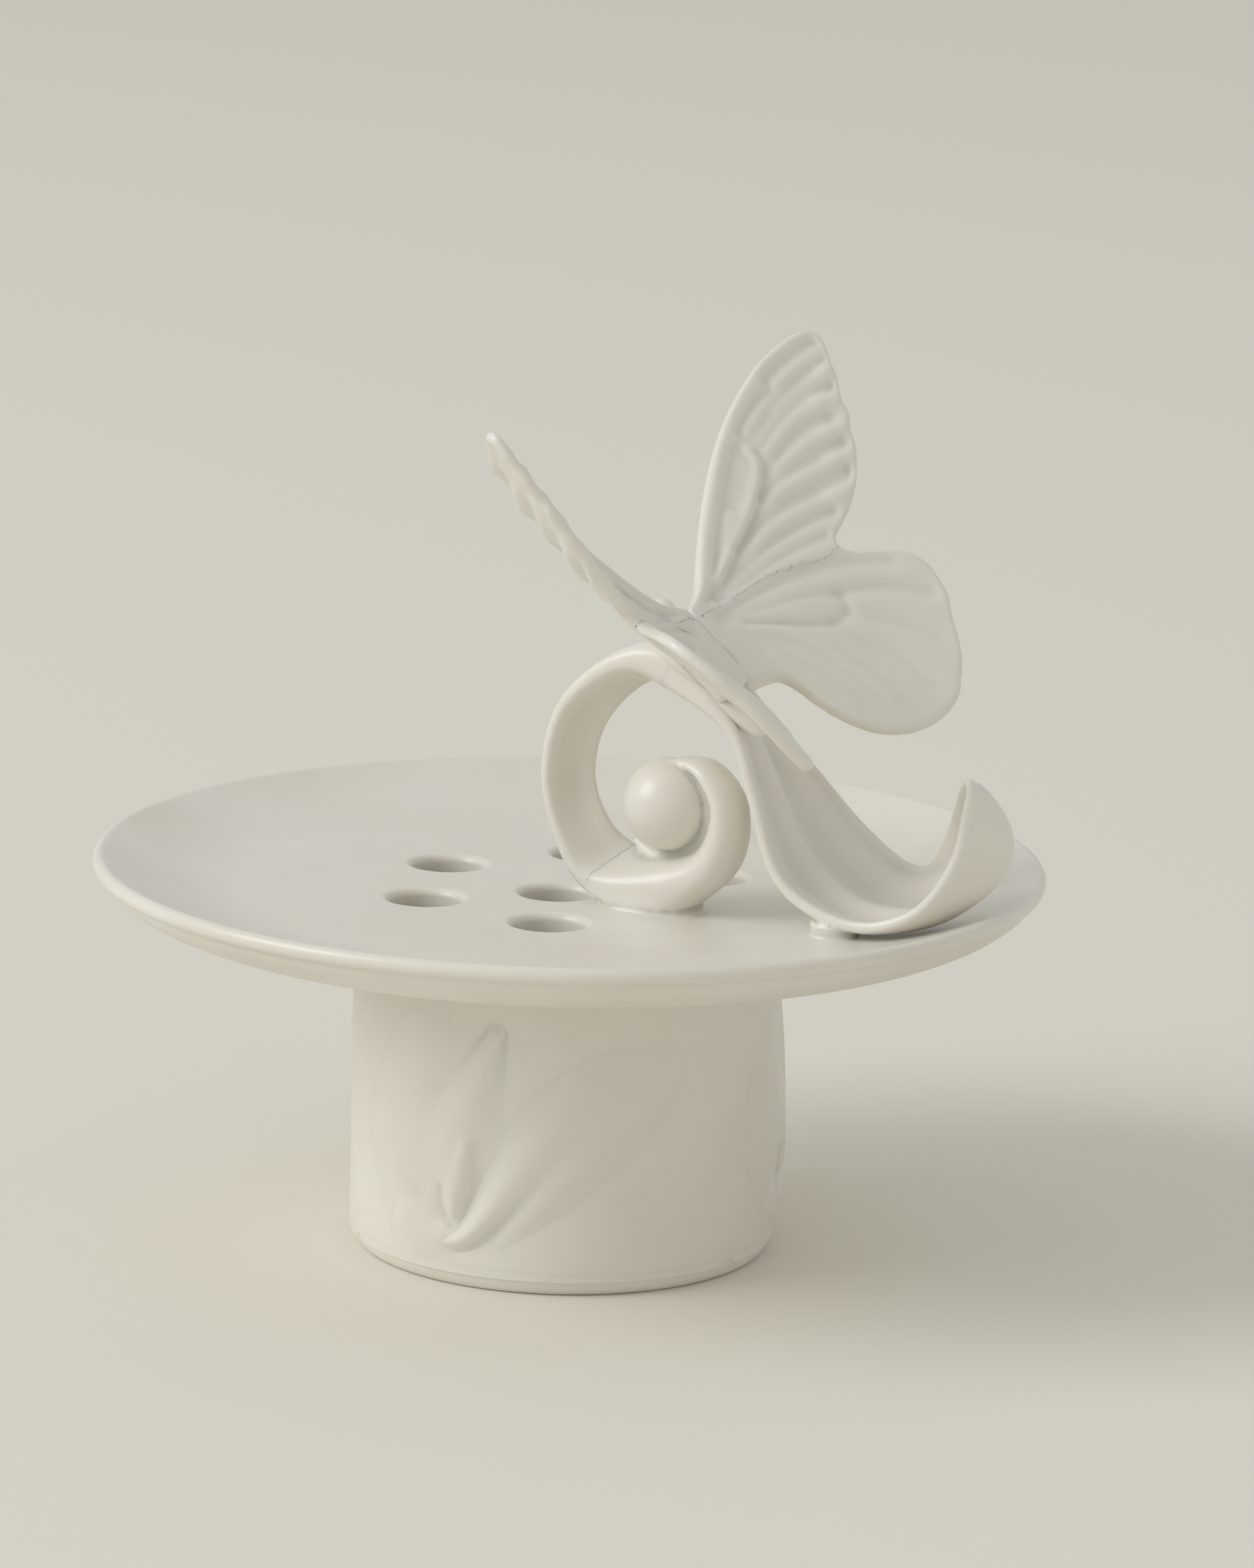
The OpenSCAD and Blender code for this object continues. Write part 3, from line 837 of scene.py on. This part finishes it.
# What is modelled on a wing, as (line, height, width at its start, width at its end). A
# height below 0 presses a groove.
FORE_FOLDS = [
    ([(6.8, -1), (10.8, 0.9), (17.8, 6.6), (23.6, 11.2), (29.6, 15.6), (34.2, 18.7), (37.6, 19.9)],
     -0.60, 0.7, 1.2),
    ([(38.4, 21.5), (42.2, 23.3), (46.3, 24.5), (49.2, 25.1), (50.8, 26.8), (55.3, 27.8),
      (60.7, 28.2), (63.4, 28.2)], -0.80, 0.9, 1.2),
    ([(39.4, 19.4), (44.5, 21.1), (49.5, 22.8), (55.6, 23.9), (60.5, 24.6), (63.1, 24.2)],
     -0.80, 0.9, 1.2),
    ([(40.6, 17.6), (45.6, 19.3), (51.5, 20.6), (55.6, 20.9), (59.8, 19.6)], -0.85, 0.9, 1.4),
    ([(36.8, 12.8), (41.4, 14.5), (46, 15.6), (50.8, 16.2), (54.5, 15.4)], -0.95, 0.9, 1.6),
    ([(32.6, 9.5), (36.9, 10.9), (41.6, 11.1), (46.1, 10.9), (49.4, 11), (53.3, 10.3)],
     -0.95, 0.9, 1.6),
    ([(20.8, 4.1), (25.7, 5.6), (29.9, 6.4), (35.2, 6.5), (40.7, 6.1), (46.9, 6), (50.3, 5.5)],
     -1.10, 0.9, 1.6),
    ([(9, -1.2), (11.8, -0.6), (18.6, 1), (25.5, 1.9), (30.8, 2.1), (36.6, 2), (41.9, 1.3)],
     -0.85, 0.7, 1.3),
    ([(9, -2.4), (11.9, -2.1), (20.9, -0.9), (28.1, -0.7), (33.7, -1.2), (38.2, -1.8)],
     -0.60, 0.6, 1.1),
    ([(37.4, 17.8), (36.2, 14.2), (32.2, 11.3), (27.6, 8.6), (22.5, 6), (17.8, 4), (12, 1.2)],
     0.55, 0.9, 0.6),
    ([(38.4, 17.2), (37.6, 14.2), (33.6, 10.7), (28.2, 7.2), (22.8, 4.3), (17.8, 2.4),
      (9.5, -0.6)], -0.80, 1.1, 0.7),
    ([(34.8, 17), (31.6, 14.9), (26, 11.2)], -0.65, 2.1, 1.2),
    ([(61.2, 22.6), (62.8, 22.9)], 0.50, 1.6, 1.2),
    ([(56.0, 18.4), (59.6, 17.6)], 0.55, 1.8, 1.4),
    ([(53.0, 13.2), (57.0, 12.8)], 0.55, 1.8, 1.4),
    ([(50.2, 8.8), (53.4, 8.4)], 0.55, 1.7, 1.4),
    ([(44.5, 3.4), (47.5, 2.6)], 0.45, 1.6, 1.2),
]
HIND_FOLDS = [
    ([(5, -4.6), (10.2, -4), (17.4, -4.1), (24.3, -4.5), (31.4, -5.8), (37.8, -7.8), (44, -11)],
     -0.60, 0.9, 1.7),
    ([(5, -6), (10.6, -5.9), (16.6, -6.8), (23.7, -8.3), (29.2, -10.5)], -0.35, 0.8, 0.9),
    ([(31, -11.8), (30.2, -14.2), (27, -15.2), (22.6, -13.7), (17.8, -11), (11, -7.6)],
     -0.60, 1.0, 0.8),
    ([(30.9, -11.2), (36.2, -12.9), (41.7, -15.9), (46, -19.3)], -0.65, 1.1, 1.6),
    ([(30, -14.9), (33.8, -18.7), (37.4, -21.9), (41.2, -26.6)], -0.40, 1.2, 2.0),
    ([(25.8, -15.6), (28.4, -20.6), (31.5, -26), (33.1, -32.9)], -0.35, 1.2, 2.0),
    ([(11, -8.6), (13.6, -10), (17, -12.8), (19.6, -16.7), (21.6, -21.3), (23, -25.8),
      (24.5, -31.1)], 0.45, 0.8, 1.1),
    ([(10.4, -14.6), (12.7, -19.6), (14.9, -24.1), (16.8, -28.6)], 0.40, 0.9, 1.1),
]

FOLD_SPREAD = 1.15              # how soft the folds are, as a share of their widths
FOLD_RISE = 0.85                # and how strong, as a share of their heights
FOLD_LIMIT = 0.8                # the most that a fold may rise or sink
UNDER = 0.35                    # how much of them shows under the wing
SPAN = 66                       # from the body to a forewing's tip
FLARE = {-1: 2.2, 1: 1.5}       # how much thicker the left and right wings are at the body
FLARE_REACH = 7.5               # how far out that thickening goes
SCALLOP, SCALLOP_DEPTH = 6.5, 0.9   # the swells under the left forewing


def folded(flat, folds):
    """The height of what is modelled on a wing, at points of its plane."""
    height = np.zeros(flat.shape[:-1])
    for line, rise, start, end in folds:
        gap, along = nearest(flat, curve_of(line, 60))
        width = FOLD_SPREAD * (start + (end - start) * along)
        height += FOLD_RISE * rise * np.exp(-(gap / width) ** 2)
    return FOLD_LIMIT * np.tanh(height / FOLD_LIMIT)


def hand_pulled(x, y, side):
    """How far a wing leaves its plane, hand-made as it is: both bow, and the left one was
    pushed further down at the front and up at the back."""
    arch = np.sin(np.clip(x / SPAN, 0, 1) * math.pi)
    bow = -WING_BOW * arch
    if side < 0:
        bow = bow - arch * (2.6 - 5.4 * step(-y, 0, 28)) - 0.5 * step(x, 40, SPAN)
    return bow


def scallops(x, y):
    """The depth of the swells under the left forewing."""
    along = step(x, 10, 20) * (1 - step(x, 48, 60)) * step(y, 1, 7)
    return np.sin(math.pi * y / SCALLOP) ** 2 * along


def wing_solid(outline, middle, folds, side, thickness, points=400, lanes=56):
    """A wing as rings that spread from the middle of its underside to its edge and close
    again over its top."""
    def half_thickness(x):
        return thickness / 2 * (1 - 0.3 * step(x, 20, SPAN))

    edge = curve_of(list(outline) + [outline[0]], points + 1)[:-1]
    away = edge - middle
    reach = np.linalg.norm(away, axis=1)
    away = away / reach[:, None]
    r = np.minimum(half_thickness(edge[:, 0]), reach / 3)
    lane = np.linspace(0.02, 1, lanes)
    arc = np.radians(np.linspace(-75, 75, 9))
    body = np.concatenate([lane, np.ones(len(arc)), lane[::-1]])
    far = np.concatenate([0 * lane, np.cos(arc), 0 * lane])
    rise = np.concatenate([-1 + 0 * lane, np.sin(arc), 1 + 0 * lane])[:, None]
    distance = (reach - r) * body[:, None] + r * far[:, None]
    flat = np.array(middle) + away * distance[..., None]
    x, y = flat[..., 0], flat[..., 1]
    inside = step(reach - distance, 0.2, 2.2) * step(x, 2, 8)
    half = half_thickness(x) + FLARE[side] * np.exp(-(x / FLARE_REACH) ** 2)
    half = np.where(np.abs(rise) < 1, np.minimum(half, r + 0.4), half)
    height = rise * half + np.where(rise > 0, 1, -UNDER) * folded(flat, folds) * inside
    height = height + hand_pulled(x, y, side)
    if side < 0:
        height = height - np.where(rise < 0, SCALLOP_DEPTH, 0) * scallops(x, y)
        y = y - 0.09 * np.maximum(y - 6, 0) * step(x, 20, 60)
    c, s = math.cos(WING_LIFT), math.sin(WING_LIFT)
    return on_fly(np.stack([side * (x * c - height * s), y, x * s + height * c], -1))


# ---- Sizes and colours a user would change -----------------------------------

def real(name, description, default, **settings):
    return bpy.props.FloatProperty(name=name, description=description, default=default, **settings)


def length(name, description, default, low=0.0):
    return real(name, description, default, subtype="DISTANCE", unit="LENGTH", min=low,
                  precision=4)


def share(name, description, default):
    return real(name, description, default, subtype="FACTOR", min=0.0, max=1.0)


def whole(name, description, default, low, high):
    return bpy.props.IntProperty(name=name, description=description, default=default,
                                 min=low, max=high)


def colour(name, description, default):
    return bpy.props.FloatVectorProperty(name=name, description=description, default=default,
                                         subtype="COLOR", size=3, min=0.0, max=1.0)


class FrogSaucerSizes(bpy.types.PropertyGroup):
    floor_width: length("Floor Width", "Diameter of the saucer's flat floor", 0.112)
    seat_width: length("Seat Width", "Diameter of the flat underside on the vase", 0.128)
    rim_thickness: length("Rim Thickness", "Thickness of the rolled rim", 0.0028)
    hole_width: length("Stem Hole", "Diameter of each stem hole", 0.0123)
    lip_radius: length("Lip Radius", "Rounding of each stem hole's mouth", 0.0014)
    hole_ring: length("Hole Ring", "Diameter of the circle of outer holes", 0.052)
    ring_holes: whole("Ring Holes", "Number of outer holes", 5, 1, 6)
    first_hole: real("First Hole", "Turn of the first outer hole from the X axis",
                     math.radians(23), subtype="ANGLE", unit="ROTATION")
    middle_x: length("Middle Hole X", "Place of the middle hole along X", -0.002, low=-0.05)
    middle_y: length("Middle Hole Y", "Place of the middle hole along Y", -0.004, low=-0.05)


class FrogCollarSizes(bpy.types.PropertyGroup):
    wall: length("Wall", "Thickness of the collar's wall", 0.0034)
    foot_radius: length("Foot Rounding", "Rounding round the collar's foot", 0.0024)


class FrogButterflySizes(bpy.types.PropertyGroup):
    wing_thickness: length("Wing Thickness", "Thickness of the wings", 0.0026)


class FrogJoints(bpy.types.PropertyGroup):
    grain: length("Grain", "Finest detail kept where pieces are luted together", 0.0004)
    passes: whole("Passes", "How far the glaze rounds corners", 8, 0, 20)


class FrogGlazeLook(bpy.types.PropertyGroup):
    glaze_colour: colour("Glaze", "Main colour of the glazed body", (0.86, 0.838, 0.77))
    warm_colour: colour("Warm Glaze", "Colour where the glaze is warmer", (0.815, 0.78, 0.705))
    # Dark colour drawn into hollows: pooled glaze and painted shade together. The speckles use it
    # too.
    pool_and_shade_colour: colour("Pooled Glaze", "Colour where the glaze gathers", (0.56, 0.56, 0.49))
    edge_colour: colour("Edge Glaze", "Colour on edges, where it is thin", (0.88, 0.86, 0.81))
    roughness: share("Roughness", "Roughness of the satin surface", 0.36)
    coat_roughness: share("Coat Roughness", "Roughness of the glaze's own gloss", 0.22)
    translucency: share("Translucency", "Share of light that enters the body", 0.12)


class FrogStageLook(bpy.types.PropertyGroup):
    floor_colour: colour("Floor", "Colour of the pale floor", (0.865, 0.838, 0.765))
    key_power: real("Key Light", "Power of the large light", 64.0, min=0.0,
                    subtype="POWER", unit="POWER")
    sky: share("Sky", "Strength of the even light from all round", 0.56)


def ball(centre, radius):
    """Vertices and faces of a round ball."""
    work = bmesh.new()
    bmesh.ops.create_icosphere(work, subdivisions=6, radius=1)
    vertices = np.array([v.co for v in work.verts])
    faces = [[v.index for v in f.verts] for f in work.faces]
    work.free()
    return vertices * radius + centre, faces


def pad_solid():
    """The waisted pad of slip that carries the leaf, from inside the floor up into the leaf."""
    x, y = (PAD_LOW[:2] + PAD_HIGH[:2]) / 2
    r, top, bottom = (PAD_HIGH[0] - PAD_LOW[0]) / 2, PAD_HIGH[2], FLOOR_Z - SLIP_DEPTH
    t = np.linspace(0, 1, 24)
    flare = r + 2.0 * (1 - t) ** 2 + 1.4 * t**2
    side = np.stack([flare, bottom + (top - bottom) * t], 1)
    vertices, faces = lathe(np.vstack([[[CORE, bottom]], side, [[CORE, top]]]), 48)
    return vertices + [x, y, 0], faces


def mound_solid(middle=(18.3, -4.8), half=(11.2, 7.2), height=4.2):
    """The slip that fills the corner between the volute's round and the saucer's floor."""
    t = np.linspace(0, 1, 24)
    bottom, core = FLOOR_Z - SLIP_DEPTH, 0.001
    side = np.stack([0.62 + 0.38 * (1 - t) ** 2, bottom + (height + SLIP_DEPTH) * t], 1)
    vertices, faces = lathe(np.vstack([[[core, bottom]], side, [[core, side[-1, 1]]]]), 64)
    vertices = vertices * [*half, 1] + [*middle, 0]
    return turned_z(vertices, -SCROLL_TURN), faces


def lute(parts, joints):
    """Fuses parts given as {(piece name, CAD node): solid} and finishes each as a piece."""
    fused = fuse(list(parts.values()), joints.grain / MM, joints.passes)
    for number, (name, node) in enumerate(parts):
        finish_piece(cut_piece(name, fused, number), node)
    bpy.data.meshes.remove(fused)


# ---- Operators ---------------------------------------------------------------

class FROG_OT_glaze(bpy.types.Operator):
    """Mix the porcelain's satin glaze"""
    bl_idname = "frog.glaze"
    bl_label = "Glaze"

    def execute(self, context):
        glaze_material(context.scene.frog_glaze)
        return {"FINISHED"}


class FROG_OT_saucer(bpy.types.Operator):
    """Build the saucer and drill its stem holes"""
    bl_idname = "frog.saucer"
    bl_label = "Saucer"

    def execute(self, context):
        sizes = context.scene.frog_saucer
        blank = new_piece("saucer", *lathe(dish_profile(sizes), 288))
        finish_piece(pierce(blank, hole_cutter(sizes), sizes), "plate")
        return {"FINISHED"}


class FROG_OT_collar(bpy.types.Operator):
    """Build the collar under the saucer"""
    bl_idname = "frog.collar"
    bl_label = "Collar"

    def execute(self, context):
        sizes = context.scene.frog_collar
        finish_piece(new_piece("collar_wall", *lathe(collar_profile(sizes), 256)), "collar")
        return {"FINISHED"}


class FROG_OT_tulips(bpy.types.Operator):
    """Lay the tulips and their leaves round the collar"""
    bl_idname = "frog.tulips"
    bl_label = "Tulips"

    def execute(self, context):
        shells = {
            "bloom": relief_shell(BLOOM),
            "leaf": relief_shell(LEAF, sink=0.06),
        }
        for number in range(TULIPS):
            for part, (vertices, faces) in shells.items():
                placed = turned_z(vertices, math.tau / TULIPS * number)
                piece = new_piece(f"tulip_{part}_relief_{number + 1}", placed, faces)
                finish_piece(piece, f"tulip_{part}_{number + 1}")
        return {"FINISHED"}


class FROG_OT_scroll(bpy.types.Operator):
    """Build the scroll and its pearl, and lute them together"""
    bl_idname = "frog.scroll"
    bl_label = "Scroll and Pearl"

    def execute(self, context):
        volute = tube(footed(ribbon_rings(0, VOLUTE_END)))
        bead, mound = tube(bead_rings()), mound_solid()
        parts = {
            ("volute", "scroll_volute"): joined([volute, bead, mound])[:2],
            ("ring", "scroll_ring"): tube(footed(ribbon_rings(VOLUTE_END, RING_END))),
            ("leaf", "scroll_leaf"): tube(ribbon_rings(RING_END, LEAF_END)),
            ("leaf_pad", "leaf_foot"): pad_solid(),
            ("pearl_ball", "pearl"): ball(PEARL_AT, PEARL_R),
        }
        lute(parts, context.scene.frog_joints)
        return {"FINISHED"}


class FROG_OT_butterfly(bpy.types.Operator):
    """Build the butterfly's body and wings, and lute them together"""
    bl_idname = "frog.butterfly"
    bl_label = "Butterfly"

    def execute(self, context):
        thickness = context.scene.frog_butterfly.wing_thickness / MM
        parts = {
            ("fly_head", "butterfly_head"): tube(body_rings(HEAD, 40, lift=-0.7)),
            ("fly_thorax", "butterfly_thorax"): tube(body_rings(THORAX, 60, lift=-2.3)),
            ("fly_abdomen", "butterfly_abdomen"): tube(body_rings(ABDOMEN, 80, lift=-1.5)),
        }
        wings = (("forewing", FORE_OUTLINE, FORE_MIDDLE, FORE_FOLDS),
                 ("hindwing", HIND_OUTLINE, HIND_MIDDLE, HIND_FOLDS))
        for side, word in ((-1, "left"), (1, "right")):
            for wing, outline, middle, folds in wings:
                rings = wing_solid(outline, middle, folds, side, thickness)
                parts[(f"fly_{wing}_{word}", f"{wing}_{word}")] = tube(rings)
        lute(parts, context.scene.frog_joints)
        return {"FINISHED"}


class FROG_OT_stage(bpy.types.Operator):
    """Set the floor, the light and the camera"""
    bl_idname = "frog.stage"
    bl_label = "Stage"

    def execute(self, context):
        scene, look = context.scene, context.scene.frog_stage
        self.floor(look)
        self.lights(look)
        self.camera(scene)
        scene.view_settings.view_transform = "Standard"
        return {"FINISHED"}

    def floor(self, look):
        half = 6.0
        mesh = bpy.data.meshes.new("floor")
        corners = [(-half, -half, 0), (half, -half, 0), (half, half, 0), (-half, half, 0)]
        mesh.from_pydata(corners, [], [(0, 1, 2, 3)])
        mesh.materials.append(floor_material(look))
        added("floor", mesh)

    def lights(self, look):
        """One large window to the left, and even light from all round."""
        light = bpy.data.lights.new("window", "AREA")
        light.energy, light.size = look.key_power, 2.2
        lamp = added("window", light)
        lamp.location = (-3.2, -0.9, 2.3)
        ray = Vector((0, 0, RIM_TOP * MM)) - lamp.location
        lamp.rotation_euler = ray.to_track_quat("-Z", "Y").to_euler()
        world = bpy.data.worlds.new("studio")
        world.use_nodes = True
        sky = world.node_tree.nodes["Background"].inputs
        sky["Color"].default_value = (0.97, 0.97, 0.93, 1)
        sky["Strength"].default_value = look.sky
        bpy.context.scene.world = world

    def camera(self, scene):
        """Looks down on the rim's centre, a touch to one side and not quite level."""
        distance, downwards = 1.10126, 12.99
        aim = (("Y", -0.482), ("X", 0.706), ("Z", 1.424))
        rim_centre = Vector((0, 0, (RIM_TOP - 1.4) * MM))
        turn = Matrix.Rotation(math.radians(90 - downwards), 3, "X")
        place = rim_centre + turn.col[2] * distance
        for axis, degrees in aim:
            turn = turn @ Matrix.Rotation(math.radians(degrees), 3, axis)
        lens = bpy.data.cameras.new("camera")
        lens.sensor_fit, lens.sensor_height, lens.lens = "VERTICAL", 36, 150.28
        lens.clip_start, lens.clip_end = 0.05, 30
        camera = added("camera", lens)
        camera.matrix_world = Matrix.Translation(place) @ turn.to_4x4()
        scene.camera = camera


class FROG_PT_panel(bpy.types.Panel):
    """Lists the pieces, with their sizes and colours"""
    bl_idname = "FROG_PT_panel"
    bl_label = "Flower Frog"
    bl_space_type = "VIEW_3D"
    bl_region_type = "UI"
    bl_category = "Flower Frog"

    def draw(self, context):
        for name in GROUPS:
            group = getattr(context.scene, name)
            box = self.layout.box()
            for prop in group.bl_rna.properties:
                if prop.identifier not in ("rna_type", "name"):
                    box.prop(group, prop.identifier)
        for operator in OPERATORS:
            self.layout.operator(operator.bl_idname)


GROUPS = {
    "frog_saucer": FrogSaucerSizes,
    "frog_collar": FrogCollarSizes,
    "frog_butterfly": FrogButterflySizes,
    "frog_joints": FrogJoints,
    "frog_glaze": FrogGlazeLook,
    "frog_stage": FrogStageLook,
}
OPERATORS = (
    FROG_OT_glaze, FROG_OT_saucer, FROG_OT_collar, FROG_OT_tulips, FROG_OT_scroll,
    FROG_OT_butterfly, FROG_OT_stage,
)


def register():
    for made in (*GROUPS.values(), *OPERATORS, FROG_PT_panel):
        bpy.utils.register_class(made)
    for name, group in GROUPS.items():
        setattr(bpy.types.Scene, name, bpy.props.PointerProperty(type=group))


def unregister():
    for name in GROUPS:
        delattr(bpy.types.Scene, name)
    for made in (FROG_PT_panel, *reversed(OPERATORS), *reversed(GROUPS.values())):
        bpy.utils.unregister_class(made)


def main():
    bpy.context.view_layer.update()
    register()
    for operator in OPERATORS:
        group, name = operator.bl_idname.split(".")
        getattr(getattr(bpy.ops, group), name)()


if __name__ == "__main__":
    main()
